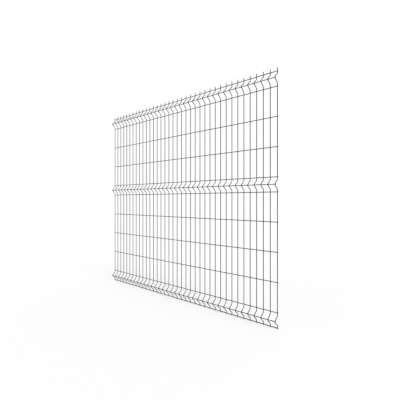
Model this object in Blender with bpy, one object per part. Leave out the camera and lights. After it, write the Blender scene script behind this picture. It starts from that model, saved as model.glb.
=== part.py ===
"""Welded mesh fence panel: upright wires and cross wires, with three V folds that stiffen it.

Units are metres. +X runs along the panel from its left end, +Z is up, and the folds stand forward,
towards -Y. The origin lies on the outer flat of the left end wire, level with the lowest cross wire.
Between the folds the upright wires' axes lie in the plane Y = 0, and the cross wires lie behind them.

The panel is divided at the feet of its folds, into three folds and the two flat fields between them.
"""

import math
from collections import namedtuple

import bmesh
import bpy
from mathutils import Vector

# Wires
UPRIGHT_DIAMETER = 0.005
CROSS_DIAMETER = 0.005
WIRE_SIDES = 6
WELD_SINK = 0.0006  # how far two round wires are pressed into each other at a weld

# Main sizes of the panel, between the axes of its outer wires
PANEL_LENGTH = 1.980
LOWER_FIELD_HEIGHT = 0.800
UPPER_FIELD_HEIGHT = 0.600
FOLD_CROSS_PITCH = 0.050  # from a fold's apex wire to the cross wire above it and the one below it

# Meshes of the flat fields
UPRIGHT_PITCH = 0.055
FIELD_CROSS_PITCH = 0.200

# Bare ends of the wires, from the axis of the last wire that they cross
SPIKE_LENGTH = 0.021
BOTTOM_END_LENGTH = 0.0042
SIDE_END_LENGTH = 0.0035

# Bends of a fold
FOLD_DEPTH = 0.034  # where the axes of a fold's two straight legs meet, in front of the flat fields
FOLD_LEG_HEIGHT = 0.0323
APEX_BEND_RADIUS = 0.0079  # of the wire's axis
APEX_BEND_CORNERS = 2

# Gap between the upright wires of two neighbouring sections
SECTION_GAP = 0.0003

# Powder coat
COAT_COLOUR = (0.0240, 0.0242, 0.0246, 1.0)
COAT_ROUGHNESS = 0.55
COAT_METALLIC = 0.0

# A wire is a polygon with as much steel as the round wire, and has a ridge at its front and its back
SIDE_ANGLE = 2 * math.pi / WIRE_SIDES
RIDGE_FACTOR = math.sqrt(SIDE_ANGLE / math.sin(SIDE_ANGLE))
FLAT_FACTOR = RIDGE_FACTOR * math.cos(SIDE_ANGLE / 2)
SMOOTH_ANGLE = 1.05 * SIDE_ANGLE

# Places that follow from the sizes above
END_WIRE_X = FLAT_FACTOR * UPRIGHT_DIAMETER / 2
UPRIGHT_WIRES = round(PANEL_LENGTH / UPRIGHT_PITCH) + 1
UPRIGHT_SPACING = PANEL_LENGTH / (UPRIGHT_WIRES - 1)
CROSS_Y = (UPRIGHT_DIAMETER + CROSS_DIAMETER) / 2 - WELD_SINK
LEG_ANGLE = math.atan2(FOLD_DEPTH, FOLD_LEG_HEIGHT)  # from the upright
APEX_Y = APEX_BEND_RADIUS * (1 / math.cos(LEG_ANGLE) - 1) - FOLD_DEPTH

BOTTOM_APEX = FOLD_CROSS_PITCH
MIDDLE_APEX = BOTTOM_APEX + LOWER_FIELD_HEIGHT + 2 * FOLD_CROSS_PITCH
TOP_APEX = MIDDLE_APEX + UPPER_FIELD_HEIGHT + 2 * FOLD_CROSS_PITCH

# name: the object's name. path: the axis of its upright wires, from below. crosses: (y, z) of the
# axes of its cross wires. before, after: the point that the wires come from and the one they go on to
# in the neighbouring sections, or None where they end.
Section = namedtuple("Section", "name path crosses before after")


def apex_corners(apex):
    """Corners of the polygon drawn round a fold's rounded bend, touching both legs and the apex."""
    centre_y = APEX_Y + APEX_BEND_RADIUS
    radius = APEX_BEND_RADIUS / math.cos(LEG_ANGLE / APEX_BEND_CORNERS)
    corners = []
    for index in range(APEX_BEND_CORNERS):
        angle = LEG_ANGLE * ((2 * index + 1) / APEX_BEND_CORNERS - 1)
        y = centre_y - radius * math.cos(angle)
        corners.append(Vector((0, y, apex + radius * math.sin(angle))))
    return corners


def fold_path(apex):
    """The axis of an upright wire through a fold, from its lower foot to its upper foot."""
    lower_foot = Vector((0, 0, apex - FOLD_LEG_HEIGHT))
    upper_foot = Vector((0, 0, apex + FOLD_LEG_HEIGHT))
    return [lower_foot, *apex_corners(apex), upper_foot]


def field_crosses(lower_edge, height):
    """(y, z) of a flat field's cross wires, which stand at its edges and evenly between them."""
    meshes = round(height / FIELD_CROSS_PITCH)
    return [(CROSS_Y, lower_edge + height * row / meshes) for row in range(meshes + 1)]


def panel_sections():
    """The three folds and the two fields between them, from the bottom up."""
    bottom = fold_path(BOTTOM_APEX)
    middle = fold_path(MIDDLE_APEX)
    top = fold_path(TOP_APEX)
    lowest_cross = BOTTOM_APEX - FOLD_CROSS_PITCH
    highest_cross = TOP_APEX + FOLD_CROSS_PITCH
    lower_end = Vector((0, 0, lowest_cross - BOTTOM_END_LENGTH))
    spike_tip = Vector((0, 0, highest_cross + SPIKE_LENGTH))
    apex_y = APEX_Y + CROSS_Y
    return [
        Section(
            "bottom_fold",
            [lower_end, *bottom],
            [(CROSS_Y, lowest_cross), (apex_y, BOTTOM_APEX)],
            None,
            middle[0],
        ),
        Section(
            "lower_field",
            [bottom[-1], middle[0]],
            field_crosses(BOTTOM_APEX + FOLD_CROSS_PITCH, LOWER_FIELD_HEIGHT),
            bottom[-2],
            middle[1],
        ),
        Section("middle_fold", middle, [(apex_y, MIDDLE_APEX)], bottom[-1], top[0]),
        Section(
            "upper_field",
            [middle[-1], top[0]],
            field_crosses(MIDDLE_APEX + FOLD_CROSS_PITCH, UPPER_FIELD_HEIGHT),
            middle[-2],
            top[1],
        ),
        Section(
            "top_fold",
            [*top, spike_tip],
            [(apex_y, TOP_APEX), (CROSS_Y, highest_cross)],
            middle[-1],
            None,
        ),
    ]


def add_ring(bm, point, arriving, leaving, side, ridge):
    """Adds the wire's outline at a point of its axis, mitred between the two directions."""
    along = (arriving + leaving).normalized()
    outward = along.cross(side) / along.dot(arriving)
    ring = []
    for corner in range(WIRE_SIDES):
        angle = corner * SIDE_ANGLE
        ring.append(bm.verts.new(point + ridge * (outward * math.cos(angle) + side * math.sin(angle))))
    return ring


def add_wire(bm, path, diameter, side, before=None, after=None):
    """Skins a wire along a path that bends only at right angles to side.

    Where the wire goes on into a neighbouring section, it ends half a gap short of the bend's mitre.
    """
    points = list(path)
    directions = [(b - a).normalized() for a, b in zip(points, points[1:])]
    directions.insert(0, (points[0] - before).normalized() if before else directions[0])
    directions.append((after - points[-1]).normalized() if after else directions[-1])
    if before:
        points[0] = points[0] + directions[1] * SECTION_GAP / 2
    if after:
        points[-1] = points[-1] - directions[-2] * SECTION_GAP / 2
    rings = []
    for point, arriving, leaving in zip(points, directions, directions[1:]):
        rings.append(add_ring(bm, point, arriving, leaving, side, RIDGE_FACTOR * diameter / 2))
    for lower, upper in zip(rings, rings[1:]):
        for corner in range(WIRE_SIDES):
            following = (corner + 1) % WIRE_SIDES
            bm.faces.new((lower[corner], lower[following], upper[following], upper[corner]))
    bm.faces.new(reversed(rings[0]))
    bm.faces.new(rings[-1])


def powder_coat(name):
    material = bpy.data.materials.new(name)
    material.use_nodes = True
    shader = material.node_tree.nodes["Principled BSDF"]
    shader.inputs["Base Color"].default_value = COAT_COLOUR
    shader.inputs["Roughness"].default_value = COAT_ROUGHNESS
    shader.inputs["Metallic"].default_value = COAT_METALLIC
    material.diffuse_color = COAT_COLOUR
    return material


def wire_object(bm, name, material, parent):
    bmesh.ops.recalc_face_normals(bm, faces=bm.faces)
    mesh = bpy.data.meshes.new(name)
    bm.to_mesh(mesh)
    bm.free()
    mesh.materials.append(material)
    mesh.shade_smooth()
    mesh.set_sharp_from_angle(angle=SMOOTH_ANGLE)
    wires = bpy.data.objects.new(name, mesh)
    bpy.context.scene.collection.objects.link(wires)
    wires.parent = parent
    return wires


def add_cross_wires(section, base, material, parent):
    """The section's cross wires, which only serve to be fused with its upright wires."""
    bm = bmesh.new()
    for y, z in section.crosses:
        left_end = Vector((-SIDE_END_LENGTH, y, z)) - base
        right_end = Vector((PANEL_LENGTH + SIDE_END_LENGTH, y, z)) - base
        add_wire(bm, [left_end, right_end], CROSS_DIAMETER, Vector((0, 0, 1)))
    crosses = wire_object(bm, section.name + "_cross_wires", material, parent)
    crosses.hide_render = True
    crosses.display_type = "WIRE"
    return crosses


def add_section(section, panel):
    """One upright wire repeated along the panel, fused with the section's cross wires."""
    material = powder_coat(section.name + "_coat")
    base = section.path[0]
    path = [point - base for point in section.path]
    before = section.before - base if section.before else None
    after = section.after - base if section.after else None
    bm = bmesh.new()
    add_wire(bm, path, UPRIGHT_DIAMETER, Vector((1, 0, 0)), before, after)
    lattice = wire_object(bm, section.name, material, panel)
    lattice.location = Vector((END_WIRE_X, 0, 0)) + base

    row = lattice.modifiers.new("Uprights", "ARRAY")
    row.count = UPRIGHT_WIRES
    row.use_relative_offset = False
    row.use_constant_offset = True
    row.constant_offset_displace = (UPRIGHT_SPACING, 0, 0)

    welds = lattice.modifiers.new("Welds", "BOOLEAN")
    welds.operation = "UNION"
    welds.solver = "EXACT"
    welds.object = add_cross_wires(section, base, material, lattice)


def build():
    for thing in list(bpy.data.objects):
        bpy.data.objects.remove(thing)
    panel = bpy.data.objects.new("fence_panel", None)
    bpy.context.scene.collection.objects.link(panel)
    for section in panel_sections():
        add_section(section, panel)


build()
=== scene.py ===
import math
import random
from collections import namedtuple

import bmesh
import bpy
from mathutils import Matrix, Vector


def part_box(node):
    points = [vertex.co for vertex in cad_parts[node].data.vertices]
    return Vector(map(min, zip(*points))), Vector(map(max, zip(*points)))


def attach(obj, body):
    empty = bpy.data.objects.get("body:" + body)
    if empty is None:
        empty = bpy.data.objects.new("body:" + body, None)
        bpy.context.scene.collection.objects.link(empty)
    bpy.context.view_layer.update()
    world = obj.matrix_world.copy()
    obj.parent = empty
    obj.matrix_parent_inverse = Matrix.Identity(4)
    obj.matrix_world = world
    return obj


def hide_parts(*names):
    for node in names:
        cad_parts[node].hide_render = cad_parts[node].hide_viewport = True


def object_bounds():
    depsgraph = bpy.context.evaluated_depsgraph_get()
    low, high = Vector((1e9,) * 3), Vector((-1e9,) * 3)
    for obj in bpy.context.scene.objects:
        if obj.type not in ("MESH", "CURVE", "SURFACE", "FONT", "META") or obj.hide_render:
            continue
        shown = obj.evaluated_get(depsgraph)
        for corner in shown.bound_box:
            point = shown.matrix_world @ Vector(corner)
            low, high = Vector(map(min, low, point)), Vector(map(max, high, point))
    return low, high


# The looks of the welded mesh fence panel, in metres: round powder-coated wires with true bends
# and sheared ends, and at each weld a fillet between the two wires and the flat marks that welding
# leaves on their outer sides, in a plain white studio. +X runs along the panel, and its folds
# stand forward, towards -Y.

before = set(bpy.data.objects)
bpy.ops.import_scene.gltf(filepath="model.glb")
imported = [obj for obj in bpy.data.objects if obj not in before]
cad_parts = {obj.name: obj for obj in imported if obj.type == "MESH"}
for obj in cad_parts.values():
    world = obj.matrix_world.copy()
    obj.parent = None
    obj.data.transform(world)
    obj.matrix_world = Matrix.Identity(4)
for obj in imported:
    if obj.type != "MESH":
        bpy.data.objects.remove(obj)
cad_low, cad_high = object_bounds()
ALL_NODES = sorted(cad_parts)

ALONG = Vector((1, 0, 0))
UP = Vector((0, 0, 1))
FORWARD = Vector((0, -1, 0))
BACKWARD = Vector((0, 1, 0))

# Wires, as in the frame, and the coat over their steel
STEEL_DIAMETER = 0.005
COAT_THICKNESS = 0.00024
WIRE_RADIUS = STEEL_DIAMETER / 2 + COAT_THICKNESS
WELD_SINK = 0.0006  # how far the steel of two wires is pressed into each other
CROSS_Y = STEEL_DIAMETER - WELD_SINK
UPRIGHT_PITCH = 0.055
FIELD_CROSS_PITCH = 0.200
FOLD_CROSS_PITCH = 0.050

# Bare ends of the wires, past the last wire that they cross
SPIKE_LENGTH = 0.021
BOTTOM_END_LENGTH = 0.0042
SIDE_END_LENGTH = 0.0035

# Bends of a fold, with the radius of the wire's axis
FOLD_DEPTH = 0.034
FOLD_LEG_HEIGHT = 0.0323
APEX_BEND_RADIUS = 0.0079
FOOT_BEND_RADIUS = 0.0064
LEG_ANGLE = math.atan2(FOLD_DEPTH, FOLD_LEG_HEIGHT)
APEX_Y = APEX_BEND_RADIUS * (1 / math.cos(LEG_ANGLE) - 1) - FOLD_DEPTH

# Places of the outer wires and the folds, from the frame
FIRST_UPRIGHT = cad_low.x + SIDE_END_LENGTH
LAST_UPRIGHT = cad_high.x - SIDE_END_LENGTH
LOWEST_CROSS = cad_low.z + BOTTOM_END_LENGTH
HIGHEST_CROSS = cad_high.z - SPIKE_LENGTH
BOTTOM_APEX = LOWEST_CROSS + FOLD_CROSS_PITCH
MIDDLE_APEX = sum(corner.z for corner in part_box("middle_fold")) / 2
TOP_APEX = HIGHEST_CROSS - FOLD_CROSS_PITCH

# How finely the wires are drawn
WIRE_SIDES = 24
BEND_STEP = math.radians(8)
SMOOTH_ANGLE = math.radians(40)

# Sheared ends: the cut leans a little, to another side on each wire, and the coat rounds its edge
CUT_LEAN = math.radians(5)
CUT_ROUNDING = 0.0006
CUT_ROUNDING_STEPS = 3
CUT_REACH = 0.0012  # the wire has no other outlines this near its ends
GOLDEN_ANGLE = math.pi * (3 - math.sqrt(5))  # from one wire's side to the next one's

# Marks of the welding electrodes, which flatten the outer side of each wire at a weld
MARK_DEPTH = 0.0003
MARK_REACH = 0.0030  # along the wire, from the middle of the weld
MARK_STEPS = 2  # on each side of that middle
MARK_UNEVENNESS = 0.3
MARK_SEED = 3

# Fillet of upset steel and coat that fills the notch round a weld
FILLET_WIDTH = 0.0008
FILLET_FILL = 0.35
FILLET_SINK = 0.00006
FILLET_CORNERS = 20
FILLET_ROWS = 4
FILLET_WAVES = (2, 3, 5)
FILLET_WAVE_HEIGHT = 0.00006
FILLET_SEED = 7
NOTCH_END = 0.999  # share of the wires' radius up to which the notch is searched
NOTCH_PRECISION = 1e-6

# Powder coat: its tone and its roughness vary between two values, and the height of its surface
# varies by a depth. A noise is given as (spots a metre, detail).
COAT_TONES = ((0.0160, 0.0162, 0.0165), (0.0250, 0.0253, 0.0258))
COAT_TONE_NOISE = (14, 5.0)
COAT_ROUGHNESS = (0.30, 0.42)
COAT_ROUGHNESS_NOISE = (55, 2.0)
COAT_SPECULAR = 0.3
PEEL_NOISE = (600, 1.0)
PEEL_DEPTH = 0.0001
GRAIN_NOISE = (3500, 1.0)
WIRE_GRAIN_DEPTH = 0.00003
WELD_GRAIN_DEPTH = 0.00004
NOISE_RANGE = (0.3, 0.7)  # between which nearly all of a noise's values lie

# Studio: each soft sun's azimuth from the front, elevation and spread in degrees, and its power
SKY_LIGHT = 0.45
SUNS = {
    "key_sun": (75, 50, 30, 1.35),
    "fill_sun": (-20, 40, 40, 0.45),
    "back_sun": (190, 50, 40, 0.5),
}
FLOOR_WHITENESS = 0.5
FLOOR_REACH = 60.0
WHITE = (1, 1, 1, 1)

# Camera, as in the photograph: level, and shifted a little
CAMERA_PLACE = (3.19475, -1.96711, 0.84488)
CAMERA_AZIMUTH = 44.4126
CAMERA_LENS = 30.769
CAMERA_SHIFT_Y = 0.0006
SENSOR_WIDTH = 36.0
CLIP_START = 0.05
CLIP_END = 4 * FLOOR_REACH

# middle: the point of the wire's axis at the weld. away: the direction in which the flattened side
# faces. depth: how much of the wire is flattened.
Mark = namedtuple("Mark", "middle away depth")


def add_object(name, data):
    thing = bpy.data.objects.new(name, data)
    bpy.context.scene.collection.objects.link(thing)
    return thing


def add_piece(bm, name, material, nodes):
    """Makes the mesh a piece of the panel that stands for these nodes of the frame."""
    bmesh.ops.recalc_face_normals(bm, faces=bm.faces)
    mesh = bpy.data.meshes.new(name)
    bm.to_mesh(mesh)
    bm.free()
    mesh.materials.append(material)
    mesh.shade_smooth()
    mesh.set_sharp_from_angle(angle=SMOOTH_ANGLE)
    piece = add_object(name, mesh)
    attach(piece, "root")
    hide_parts(*nodes)


def nodes_at(height):
    """Names of the frame's nodes that reach this height."""
    found = []
    for name in ALL_NODES:
        low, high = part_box(name)
        if low.z <= height <= high.z:
            found.append(name)
    return found


def upright_places():
    count = round((LAST_UPRIGHT - FIRST_UPRIGHT) / UPRIGHT_PITCH) + 1
    spacing = (LAST_UPRIGHT - FIRST_UPRIGHT) / (count - 1)
    return [FIRST_UPRIGHT + column * spacing for column in range(count)]


def field_heights(lower_edge, upper_edge):
    """Heights of the cross wires inside a flat field, between those at its edges."""
    meshes = round((upper_edge - lower_edge) / FIELD_CROSS_PITCH)
    return [lower_edge + (upper_edge - lower_edge) * row / meshes for row in range(1, meshes)]


def cross_rows():
    """(height, whether it lies in a fold's apex) of every cross wire, from the bottom up."""
    rows = []
    for apex in (BOTTOM_APEX, MIDDLE_APEX, TOP_APEX):
        if rows:
            inner = field_heights(rows[-1][0], apex - FOLD_CROSS_PITCH)
            rows += [(height, False) for height in inner]
        rows.append((apex - FOLD_CROSS_PITCH, False))
        rows.append((apex, True))
        rows.append((apex + FOLD_CROSS_PITCH, False))
    return rows


def round_bend(before, corner, after, radius):
    """Points along the round bend that takes the place of a path's corner."""
    arriving = (corner - before).normalized()
    leaving = (after - corner).normalized()
    turn = arriving.angle(leaving)
    start = corner - arriving * radius * math.tan(turn / 2)
    centre = corner + (leaving - arriving).normalized() * radius / math.cos(turn / 2)
    spoke = (start - centre).normalized()
    steps = math.ceil(turn / BEND_STEP)
    points = []
    for step in range(steps + 1):
        angle = turn * step / steps
        points.append(centre + radius * (spoke * math.cos(angle) + arriving * math.sin(angle)))
    return points


def mark_outlines(middle, along):
    """Points of a straight stretch of the axis at which the mark of a weld is drawn."""
    steps = range(-MARK_STEPS, MARK_STEPS + 1)
    return [middle + along * MARK_REACH * step / MARK_STEPS for step in steps]


def upright_path(x):
    """The axis of the upright wire at x, from its lower end to the tip of its spike."""
    corners = [Vector((x, 0, cad_low.z))]
    radii = []
    for apex in (BOTTOM_APEX, MIDDLE_APEX, TOP_APEX):
        corners.append(Vector((x, 0, apex - FOLD_LEG_HEIGHT)))
        corners.append(Vector((x, -FOLD_DEPTH, apex)))
        corners.append(Vector((x, 0, apex + FOLD_LEG_HEIGHT)))
        radii += [FOOT_BEND_RADIUS, APEX_BEND_RADIUS, FOOT_BEND_RADIUS]
    corners.append(Vector((x, 0, cad_high.z)))
    points = [corners[0], corners[-1]]
    for before, corner, after, radius in zip(corners, corners[1:], corners[2:], radii):
        points += round_bend(before, corner, after, radius)
    for height, in_apex in cross_rows():
        if not in_apex:
            points += mark_outlines(Vector((x, 0, height)), UP)
    return sorted(points, key=lambda point: point.z)


def cross_path(y, height):
    """The axis of a cross wire, from its left end to its right end."""
    path = [Vector((cad_low.x, y, height))]
    for x in upright_places():
        path += mark_outlines(Vector((x, y, height)), ALONG)
    return path + [Vector((cad_high.x, y, height))]


def mark_at(point, marks):
    """The mark that reaches this point of the axis, with the depth that it has here, or None."""
    for mark in marks:
        off = (point - mark.middle).length / MARK_REACH
        if off < 1:
            return Mark(mark.middle, mark.away, mark.depth * (1 - off**2) ** 2)
    return None


def add_ring(bm, point, along, side, radius, lean=None, mark=None):
    """A round outline of the wire, which leans back from one side at a cut.

    A mark takes off what stands out past its flat.
    """
    outward = along.cross(side)
    ring = []
    for corner in range(WIRE_SIDES):
        angle = 2 * math.pi * corner / WIRE_SIDES
        spoke = radius * (outward * math.cos(angle) + side * math.sin(angle))
        if lean:
            spoke += along * (spoke.dot(lean) - WIRE_RADIUS) * math.tan(CUT_LEAN)
        place = point + spoke
        if mark:
            excess = (place - mark.middle).dot(mark.away) - WIRE_RADIUS + mark.depth
            place -= mark.away * max(0, excess)
        ring.append(bm.verts.new(place))
    return ring


def add_skin(bm, rings):
    """Closes the space between neighbouring rings, and the first and the last ring."""
    corners = len(rings[0])
    for lower, upper in zip(rings, rings[1:]):
        for corner in range(corners):
            following = (corner + 1) % corners
            bm.faces.new((lower[corner], lower[following], upper[following], upper[corner]))
    bm.faces.new(rings[0])
    bm.faces.new(rings[-1])


def cut_end(bm, tip, along, side, lean):
    """Rings of a sheared end whose edge the coat rounds, from the shaft to the tip."""
    rings = []
    for step in range(CUT_ROUNDING_STEPS + 1):
        angle = math.pi / 2 * step / CUT_ROUNDING_STEPS
        back = CUT_ROUNDING * (1 - math.sin(angle))
        radius = WIRE_RADIUS - CUT_ROUNDING * (1 - math.cos(angle))
        rings.append(add_ring(bm, tip - along * back, along, side, radius, lean))
    return rings


def wire_mesh(path, side, turn, marks):
    """Skins a round wire along a smooth path that bends only at right angles to side.

    The cuts at its ends lean back from the side that lies at the angle turn round the wire.
    """
    bm = bmesh.new()
    start, end = path[0], path[-1]
    start_along = (path[1] - start).normalized()
    end_along = (end - path[-2]).normalized()
    lean = side * math.sin(turn) + end_along.cross(side) * math.cos(turn)
    inner = []
    for point in path:
        if min((point - start).length, (point - end).length) > CUT_REACH:
            inner.append(point)
    rings = []
    # Seen from the wire's other end, the corners of its first rings run the other way round
    turned = [(WIRE_SIDES // 2 - corner) % WIRE_SIDES for corner in range(WIRE_SIDES)]
    for ring in reversed(cut_end(bm, start, -start_along, side, lean)):
        rings.append([ring[corner] for corner in turned])
    for before, point, after in zip([start, *inner], inner, [*inner[1:], end]):
        along = (after - before).normalized()
        rings.append(add_ring(bm, point, along, side, WIRE_RADIUS, mark=mark_at(point, marks)))
    rings += cut_end(bm, end, end_along, side, lean)
    add_skin(bm, rings)
    return bm


def weld_marks(middles, away, chance):
    """A mark at each of these points of a wire's axis, each of its own depth."""
    marks = []
    for middle in middles:
        depth = MARK_DEPTH * chance.uniform(1 - MARK_UNEVENNESS, 1 + MARK_UNEVENNESS)
        marks.append(Mark(middle, away, depth))
    return marks


def make_wires(coat):
    chance = random.Random(MARK_SEED)
    for column, x in enumerate(upright_places()):
        welds = []
        for height, in_apex in cross_rows():
            welds.append(Vector((x, APEX_Y if in_apex else 0, height)))
        marks = weld_marks(welds, FORWARD, chance)
        bm = wire_mesh(upright_path(x), ALONG, column * GOLDEN_ANGLE, marks)
        add_piece(bm, f"upright_wire_{column + 1:02d}", coat, ALL_NODES)
    for row, (height, in_apex) in enumerate(cross_rows()):
        y = CROSS_Y + (APEX_Y if in_apex else 0)
        welds = [Vector((x, y, height)) for x in upright_places()]
        marks = weld_marks(welds, BACKWARD, chance)
        bm = wire_mesh(cross_path(y, height), UP, row * GOLDEN_ANGLE, marks)
        add_piece(bm, f"cross_wire_{row + 1:02d}", coat, nodes_at(height))


def upright_back(u, w, in_apex):
    """How far behind an upright's axis its surface lies, at u across the wire and w along it."""
    reach = math.sqrt(WIRE_RADIUS**2 - u**2)
    if in_apex:
        return APEX_BEND_RADIUS - math.sqrt((APEX_BEND_RADIUS - reach) ** 2 - w**2)
    return reach


def cross_front(w):
    """The same for the surface of the cross wire behind it."""
    return CROSS_Y - math.sqrt(WIRE_RADIUS**2 - w**2)


def notch_reach(angle, width, in_apex):
    """How far from the weld's middle the notch between the two wires is this wide."""
    across, along = math.cos(angle), math.sin(angle)
    near, far = 0.0, NOTCH_END * WIRE_RADIUS / max(abs(across), abs(along))
    while far - near > NOTCH_PRECISION:
        middle = (near + far) / 2
        u, w = middle * across, middle * along
        if cross_front(w) - upright_back(u, w, in_apex) < width:
            near = middle
        else:
            far = middle
    return near


def on_curve(handles, t):
    """The value at t, from 0 to 1, of the smooth curve that four handles give."""
    weights = ((1 - t) ** 3, 3 * t * (1 - t) ** 2, 3 * t**2 * (1 - t), t**3)
    return sum(weight * value for weight, value in zip(weights, handles))


def fillet_outlines(in_apex):
    """Outlines of a fillet, from the upright to the cross wire.

    A point is (angle, reach from the weld's middle, place behind the upright's axis). Each profile
    leaves the upright along its surface and joins the cross wire along its own.
    """
    outlines = [[] for _ in range(FILLET_ROWS + 1)]
    for corner in range(FILLET_CORNERS):
        angle = 2 * math.pi * corner / FILLET_CORNERS
        across, along = math.cos(angle), math.sin(angle)
        root = notch_reach(angle, 0, in_apex)
        rim = notch_reach(angle, FILLET_WIDTH, in_apex)
        handle = root + (rim - root) * FILLET_FILL
        reaches = (rim, handle, handle, rim)
        depths = (
            upright_back(rim * across, rim * along, in_apex) - FILLET_SINK,
            upright_back(handle * across, handle * along, in_apex),
            cross_front(handle * along),
            cross_front(rim * along) + FILLET_SINK,
        )
        for row, outline in enumerate(outlines):
            t = row / FILLET_ROWS
            outline.append((angle, on_curve(reaches, t), on_curve(depths, t)))
    return outlines


def add_fillet(bm, x, y, height, outlines, chance):
    """One fillet, a little uneven round its weld."""
    waves = [(count, chance.uniform(0, 2 * math.pi)) for count in FILLET_WAVES]
    rings = []
    for row, outline in enumerate(outlines):
        swell = FILLET_WAVE_HEIGHT * math.sin(math.pi * row / FILLET_ROWS)
        ring = []
        for angle, reach, depth in outline:
            reach += swell * sum(math.sin(count * angle + phase) for count, phase in waves)
            place = (x + reach * math.cos(angle), y + depth, height + reach * math.sin(angle))
            ring.append(bm.verts.new(place))
        rings.append(ring)
    add_skin(bm, rings)


def make_welds(coat):
    bm = bmesh.new()
    chance = random.Random(FILLET_SEED)
    straight = fillet_outlines(False)
    bent = fillet_outlines(True)
    for height, in_apex in cross_rows():
        for x in upright_places():
            if in_apex:
                add_fillet(bm, x, APEX_Y, height, bent, chance)
            else:
                add_fillet(bm, x, 0, height, straight, chance)
    add_piece(bm, "welds", coat, ALL_NODES)


def add_noise(nodes, links, coords, pattern):
    noise = nodes.new("ShaderNodeTexNoise")
    noise.inputs["Scale"].default_value, noise.inputs["Detail"].default_value = pattern
    links.new(coords.outputs["Object"], noise.inputs["Vector"])
    return noise.outputs["Fac"]


def add_bump(nodes, links, height, depth, before=None):
    """The normal of a surface whose height varies by this depth, over an earlier bump if any."""
    bump = nodes.new("ShaderNodeBump")
    bump.inputs["Strength"].default_value = 1.0
    bump.inputs["Distance"].default_value = depth
    links.new(height, bump.inputs["Height"])
    if before:
        links.new(before, bump.inputs["Normal"])
    return bump.outputs["Normal"]


def powder_coat(name, grain_depth):
    """Dark grey powder coat, a little uneven in tone and gloss, with orange peel and a grain."""
    material = bpy.data.materials.new(name)
    material.use_nodes = True
    nodes = material.node_tree.nodes
    links = material.node_tree.links
    shader = nodes["Principled BSDF"]
    shader.inputs["Metallic"].default_value = 0.0
    shader.inputs["Specular IOR Level"].default_value = COAT_SPECULAR
    coords = nodes.new("ShaderNodeTexCoord")

    tone = nodes.new("ShaderNodeValToRGB")
    for stop, position, colour in zip(tone.color_ramp.elements, NOISE_RANGE, COAT_TONES):
        stop.position = position
        stop.color = (*colour, 1)
    links.new(add_noise(nodes, links, coords, COAT_TONE_NOISE), tone.inputs["Fac"])
    links.new(tone.outputs["Color"], shader.inputs["Base Color"])

    gloss = nodes.new("ShaderNodeMapRange")
    gloss.inputs["From Min"].default_value, gloss.inputs["From Max"].default_value = NOISE_RANGE
    gloss.inputs["To Min"].default_value, gloss.inputs["To Max"].default_value = COAT_ROUGHNESS
    links.new(add_noise(nodes, links, coords, COAT_ROUGHNESS_NOISE), gloss.inputs["Value"])
    links.new(gloss.outputs["Result"], shader.inputs["Roughness"])

    peel = add_bump(nodes, links, add_noise(nodes, links, coords, PEEL_NOISE), PEEL_DEPTH)
    grain = add_noise(nodes, links, coords, GRAIN_NOISE)
    links.new(add_bump(nodes, links, grain, grain_depth, peel), shader.inputs["Normal"])
    return material


def shows_background(nodes, links):
    """1 for rays that show the plain background: from the camera, or by way of gloss or glass."""
    rays = nodes.new("ShaderNodeLightPath")
    shown = rays.outputs["Is Camera Ray"]
    for other in ("Is Glossy Ray", "Is Transmission Ray"):
        either = nodes.new("ShaderNodeMath")
        either.operation = "MAXIMUM"
        links.new(shown, either.inputs[0])
        links.new(rays.outputs[other], either.inputs[1])
        shown = either.outputs[0]
    return shown


def make_world():
    """White where it shows, and a softer light on the panel and the floor."""
    world = bpy.data.worlds.new("studio")
    bpy.context.scene.world = world
    world.use_nodes = True
    nodes = world.node_tree.nodes
    links = world.node_tree.links
    strength = nodes.new("ShaderNodeMapRange")
    strength.inputs["To Min"].default_value = SKY_LIGHT
    strength.inputs["To Max"].default_value = 1.0
    links.new(shows_background(nodes, links), strength.inputs["Value"])
    background = nodes["Background"]
    background.inputs["Color"].default_value = WHITE
    links.new(strength.outputs["Result"], background.inputs["Strength"])


def floor_light():
    """How bright the sky and the suns make the open floor."""
    light = SKY_LIGHT
    for _, elevation, _, power in SUNS.values():
        light += power * math.sin(math.radians(elevation)) / math.pi
    return FLOOR_WHITENESS * light


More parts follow.
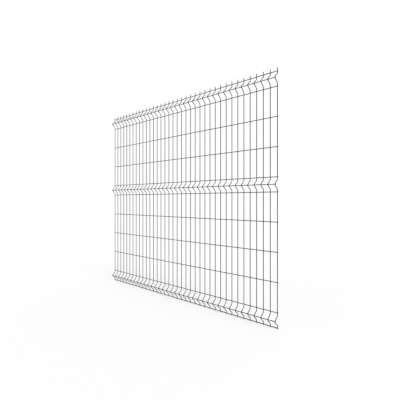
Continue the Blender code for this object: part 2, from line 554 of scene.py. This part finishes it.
def floor_paint():
    """Matt and pale, and white wherever the light reaches it and it shows as background."""
    material = bpy.data.materials.new("pale_floor")
    material.use_nodes = True
    nodes = material.node_tree.nodes
    links = material.node_tree.links
    shader = nodes["Principled BSDF"]
    grey = (FLOOR_WHITENESS, FLOOR_WHITENESS, FLOOR_WHITENESS, 1)
    shader.inputs["Base Color"].default_value = grey
    shader.inputs["Roughness"].default_value = 1.0
    shader.inputs["Specular IOR Level"].default_value = 0.0
    shader.inputs["Emission Color"].default_value = WHITE
    lift = nodes.new("ShaderNodeMapRange")
    lift.inputs["To Min"].default_value = 0.0
    lift.inputs["To Max"].default_value = 1.0 - floor_light()
    links.new(shows_background(nodes, links), lift.inputs["Value"])
    links.new(lift.outputs["Result"], shader.inputs["Emission Strength"])
    return material


def make_floor():
    """An even floor, on which only the panel's shadow shows against the white background."""
    bm = bmesh.new()
    bmesh.ops.create_grid(bm, x_segments=1, y_segments=1, size=FLOOR_REACH)
    mesh = bpy.data.meshes.new("floor")
    bm.to_mesh(mesh)
    bm.free()
    mesh.materials.append(floor_paint())
    floor = add_object("floor", mesh)
    floor.location = ((FIRST_UPRIGHT + LAST_UPRIGHT) / 2, 0, cad_low.z)


def make_suns():
    for name, (azimuth, elevation, spread, power) in SUNS.items():
        light = bpy.data.lights.new(name, "SUN")
        light.energy = power
        light.angle = math.radians(spread)
        sun = add_object(name, light)
        sun.rotation_euler = (math.radians(90 - elevation), 0, math.radians(azimuth))


def make_camera():
    lens = bpy.data.cameras.new("camera")
    lens.sensor_width = SENSOR_WIDTH
    lens.lens = CAMERA_LENS
    lens.shift_y = CAMERA_SHIFT_Y
    lens.clip_start = CLIP_START
    lens.clip_end = CLIP_END
    camera = add_object("camera", lens)
    camera.location = CAMERA_PLACE
    camera.rotation_euler = (math.radians(90), 0, math.radians(CAMERA_AZIMUTH))
    bpy.context.scene.camera = camera


make_camera()
make_wires(powder_coat("powder_coat", WIRE_GRAIN_DEPTH))
make_welds(powder_coat("weld_coat", WELD_GRAIN_DEPTH))
make_world()
make_floor()
make_suns()
bpy.context.scene.view_settings.view_transform = "Standard"
